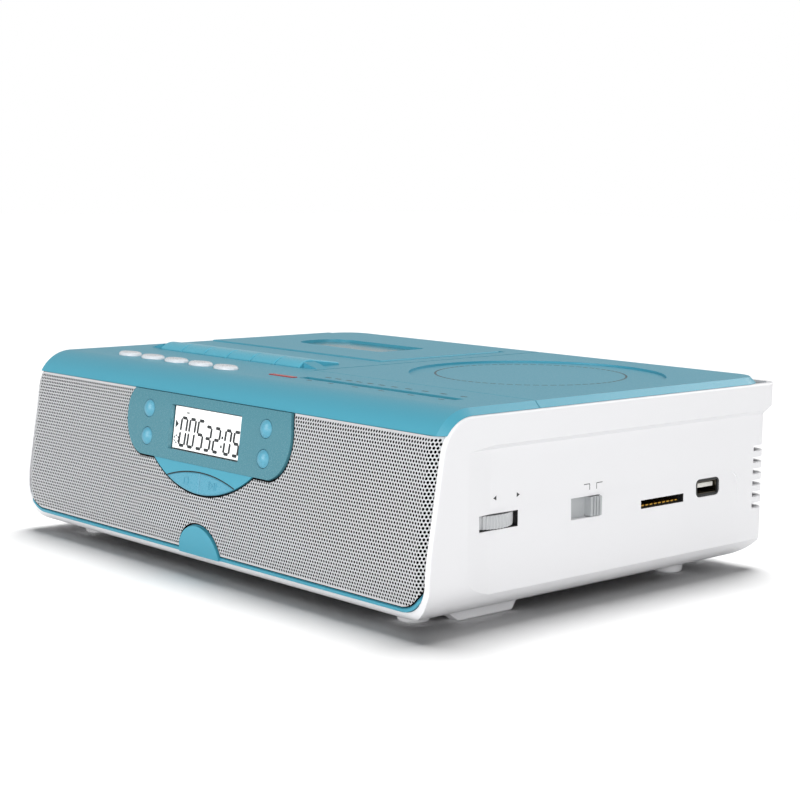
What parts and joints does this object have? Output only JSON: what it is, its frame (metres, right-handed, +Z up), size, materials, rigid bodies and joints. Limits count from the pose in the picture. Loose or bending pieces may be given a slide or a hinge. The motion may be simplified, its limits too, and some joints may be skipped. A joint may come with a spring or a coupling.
{
  "type": "cd boombox",
  "caption": "Tabletop CD, cassette and radio player with a hinged disc lid, cassette door, piano keys, perforated front grille, central display and side sockets.",
  "frame": {"origin": "on the table under the middle of the case, at the bottom centre of the bounding box", "axes": "+X to the listener's right along the width, +Y to the back, +Z up"},
  "size_m": [0.262, 0.197, 0.082],
  "materials": {
    "white_abs": "moulded satin white ABS",
    "teal_abs": "moulded gloss teal ABS",
    "dark_teal_abs": "moulded gloss dark teal ABS",
    "grille_steel": "perforated sheet steel, powder coated pale grey",
    "light_blue_abs": "moulded gloss light blue ABS",
    "white_key_abs": "moulded gloss white ABS",
    "piano_key_abs": "moulded gloss teal ABS",
    "lcd_glass": "white liquid crystal display",
    "clear_plastic": "clear moulded polystyrene",
    "red_lens": "tinted light guide",
    "red_pointer": "moulded red pointer",
    "grey_abs": "moulded light grey ABS",
    "black_abs": "moulded black plastic",
    "well_abs": "moulded grey ABS",
    "circuit_board": "phenolic circuit board",
    "zinc_steel": "zinc plated pressed steel",
    "bright_steel": "bright drawn steel",
    "motor_steel": "plated steel can",
    "turned_brass": "turned brass",
    "black_rubber": "rubber",
    "speaker_paper": "stamped steel basket with a black paper cone",
    "core_steel": "varnished steel laminations"
  },
  "bodies": {
    "root": {"lower_case": "white_abs", "bottom_cover": "white_abs", "top_cover": "teal_abs", "front_panel": "dark_teal_abs", "display_bezel": "dark_teal_abs", "speaker_grille": "grille_steel", "lcd_panel": "lcd_glass", "dial_window": "clear_plastic", "power_lamp": "red_lens", "band_switch_body": "black_abs", "sd_socket": "black_abs", "usb_socket": "black_abs", "mains_inlet": "black_abs", "tuning_capacitor": "black_abs", "cd_well": "well_abs", "main_board": "circuit_board", "control_board": "circuit_board", "key_board": "circuit_board", "deck_chassis": "zinc_steel", "cd_chassis": "zinc_steel", "key_shaft": "bright_steel", "guide_rods": "bright_steel", "case_screws": "bright_steel", "disc_motor": "motor_steel", "deck_motor": "motor_steel", "drive_belt": "black_rubber", "speaker_left": "speaker_paper", "speaker_right": "speaker_paper", "power_transformer": "core_steel"},
    "record_key_body": {"record_key": "piano_key_abs"},
    "play_key_body": {"play_key": "piano_key_abs"},
    "rewind_key_body": {"rewind_key": "piano_key_abs"},
    "fast_forward_key_body": {"fast_forward_key": "piano_key_abs"},
    "stop_eject_key_body": {"stop_eject_key": "piano_key_abs"},
    "pause_key_body": {"pause_key": "piano_key_abs"},
    "oval_key_1_body": {"oval_key_1": "white_key_abs"},
    "oval_key_2_body": {"oval_key_2": "white_key_abs"},
    "oval_key_3_body": {"oval_key_3": "white_key_abs"},
    "oval_key_4_body": {"oval_key_4": "white_key_abs"},
    "oval_key_5_body": {"oval_key_5": "white_key_abs"},
    "round_key_1_body": {"round_key_1": "light_blue_abs"},
    "round_key_2_body": {"round_key_2": "light_blue_abs"},
    "round_key_3_body": {"round_key_3": "light_blue_abs"},
    "round_key_4_body": {"round_key_4": "light_blue_abs"},
    "front_stop_key_body": {"front_stop_key": "light_blue_abs"},
    "front_play_key_body": {"front_play_key": "light_blue_abs"},
    "tuning_wheel_body": {"tuning_wheel": "grey_abs"},
    "dial_pointer_body": {"dial_pointer": "red_pointer"},
    "band_switch_knob_body": {"band_switch_knob": "grey_abs"},
    "cd_lid_body": {"cd_lid": "teal_abs"},
    "turntable_body": {"turntable": "black_abs"},
    "optical_pickup_body": {"optical_pickup": "black_abs"},
    "supply_spindle_body": {"supply_spindle": "black_abs"},
    "takeup_spindle_body": {"takeup_spindle": "black_abs"},
    "flywheel_body": {"flywheel": "turned_brass"},
    "motor_pulley_body": {"motor_pulley": "turned_brass"},
    "head_plate_body": {"head_plate": "zinc_steel"},
    "pinch_roller_body": {"pinch_roller": "black_rubber"},
    "cassette_door_body": {"cassette_door": "teal_abs", "cassette_window": "clear_plastic"}
  },
  "joints": [
    {"name": "record_key_press", "type": "hinge", "parent": "root", "child": "record_key_body", "pos_m": [-0.09865, -0.014, 0.0732], "axis": [1, 0, 0], "range_deg": [0, 5], "stiffness_Nm_per_rad": 0.8},
    {"name": "play_key_press", "type": "hinge", "parent": "root", "child": "play_key_body", "pos_m": [-0.08195, -0.014, 0.0732], "axis": [1, 0, 0], "range_deg": [0, 5], "stiffness_Nm_per_rad": 0.8},
    {"name": "rewind_key_press", "type": "hinge", "parent": "root", "child": "rewind_key_body", "pos_m": [-0.06525, -0.014, 0.0732], "axis": [1, 0, 0], "range_deg": [0, 5], "stiffness_Nm_per_rad": 0.8},
    {"name": "fast_forward_key_press", "type": "hinge", "parent": "root", "child": "fast_forward_key_body", "pos_m": [-0.04855, -0.014, 0.0732], "axis": [1, 0, 0], "range_deg": [0, 5], "stiffness_Nm_per_rad": 0.8},
    {"name": "stop_eject_key_press", "type": "hinge", "parent": "root", "child": "stop_eject_key_body", "pos_m": [-0.03185, -0.014, 0.0732], "axis": [1, 0, 0], "range_deg": [0, 5], "stiffness_Nm_per_rad": 0.8},
    {"name": "pause_key_press", "type": "hinge", "parent": "root", "child": "pause_key_body", "pos_m": [-0.01515, -0.014, 0.0732], "axis": [1, 0, 0], "range_deg": [0, 5], "stiffness_Nm_per_rad": 0.8},
    {"name": "oval_key_1_press", "type": "slide", "parent": "root", "child": "oval_key_1_body", "axis": [0, 0, -1], "range_m": [0, 0.0008], "stiffness_N_per_m": 600},
    {"name": "oval_key_2_press", "type": "slide", "parent": "root", "child": "oval_key_2_body", "axis": [0, 0, -1], "range_m": [0, 0.0008], "stiffness_N_per_m": 600},
    {"name": "oval_key_3_press", "type": "slide", "parent": "root", "child": "oval_key_3_body", "axis": [0, 0, -1], "range_m": [0, 0.0008], "stiffness_N_per_m": 600},
    {"name": "oval_key_4_press", "type": "slide", "parent": "root", "child": "oval_key_4_body", "axis": [0, 0, -1], "range_m": [0, 0.0008], "stiffness_N_per_m": 600},
    {"name": "oval_key_5_press", "type": "slide", "parent": "root", "child": "oval_key_5_body", "axis": [0, 0, -1], "range_m": [0, 0.0008], "stiffness_N_per_m": 600},
    {"name": "round_key_1_press", "type": "slide", "parent": "root", "child": "round_key_1_body", "axis": [0, 0.9922, -0.1245], "range_m": [0, 0.0008], "stiffness_N_per_m": 600},
    {"name": "round_key_2_press", "type": "slide", "parent": "root", "child": "round_key_2_body", "axis": [0, 0.9922, -0.1245], "range_m": [0, 0.0008], "stiffness_N_per_m": 600},
    {"name": "round_key_3_press", "type": "slide", "parent": "root", "child": "round_key_3_body", "axis": [0, 0.9922, -0.1245], "range_m": [0, 0.0008], "stiffness_N_per_m": 600},
    {"name": "round_key_4_press", "type": "slide", "parent": "root", "child": "round_key_4_body", "axis": [0, 0.9922, -0.1245], "range_m": [0, 0.0008], "stiffness_N_per_m": 600},
    {"name": "front_stop_key_press", "type": "slide", "parent": "root", "child": "front_stop_key_body", "axis": [0, 0.9922, -0.1245], "range_m": [0, 0.0008], "stiffness_N_per_m": 600},
    {"name": "front_play_key_press", "type": "slide", "parent": "root", "child": "front_play_key_body", "axis": [0, 0.9922, -0.1245], "range_m": [0, 0.0008], "stiffness_N_per_m": 600},
    {"name": "tuning_wheel_turn", "type": "hinge", "parent": "root", "child": "tuning_wheel_body", "pos_m": [0.1154, -0.0615, 0.038], "axis": [0, 0, 1], "range_deg": [-140, 140]},
    {"name": "dial_pointer_slide", "type": "slide", "parent": "root", "child": "dial_pointer_body", "axis": [1, 0, 0], "range_m": [-0.038, 0.038]},
    {"name": "band_switch_slide", "type": "slide", "parent": "root", "child": "band_switch_knob_body", "axis": [0, 1, 0], "range_m": [-0.0086, 0]},
    {"name": "cd_lid_hinge", "type": "hinge", "parent": "root", "child": "cd_lid_body", "pos_m": [0.065, 0.0876, 0.0735], "axis": [-1, 0, 0], "range_deg": [0, 72]},
    {"name": "turntable_spin", "type": "hinge", "parent": "root", "child": "turntable_body", "pos_m": [0.0666, 0.021, 0.069], "axis": [0, 0, 1], "continuous": true},
    {"name": "pickup_slide", "type": "slide", "parent": "root", "child": "optical_pickup_body", "axis": [0, -1, 0], "range_m": [0, 0.031]},
    {"name": "cassette_door_hinge", "type": "hinge", "parent": "root", "child": "cassette_door_body", "pos_m": [-0.0655, 0.0752, 0.0736], "axis": [-1, 0, 0], "range_deg": [0, 35]},
    {"name": "supply_spin", "type": "hinge", "parent": "root", "child": "supply_spindle_body", "pos_m": [-0.08625, 0.038, 0.063], "axis": [0, 0, 1], "continuous": true},
    {"name": "takeup_spin", "type": "hinge", "parent": "root", "child": "takeup_spindle_body", "pos_m": [-0.04375, 0.038, 0.063], "axis": [0, 0, 1], "continuous": true},
    {"name": "flywheel_spin", "type": "hinge", "parent": "root", "child": "flywheel_body", "pos_m": [-0.034, 0.013, 0.034], "axis": [0, 0, 1], "continuous": true},
    {"name": "motor_pulley_spin", "type": "hinge", "parent": "root", "child": "motor_pulley_body", "pos_m": [-0.098, 0.02, 0.033], "axis": [0, 0, 1], "continuous": true},
    {"name": "head_plate_slide", "type": "slide", "parent": "root", "child": "head_plate_body", "axis": [0, 1, 0], "range_m": [0, 0.005]},
    {"name": "pinch_roller_spin", "type": "hinge", "parent": "head_plate_body", "child": "pinch_roller_body", "pos_m": [-0.034, 0.0009, 0.068], "axis": [0, 0, 1], "continuous": true}
  ],
  "couplings": [
    {"joint": "tuning_wheel_turn", "follows": "dial_pointer_slide", "rad_per_m": 64.3},
    {"joint": "play_key_press", "follows": "head_plate_slide", "rad_per_m": 17.45},
    {"joint": "motor_pulley_spin", "follows": "flywheel_spin", "ratio": 4.75}
  ]
}
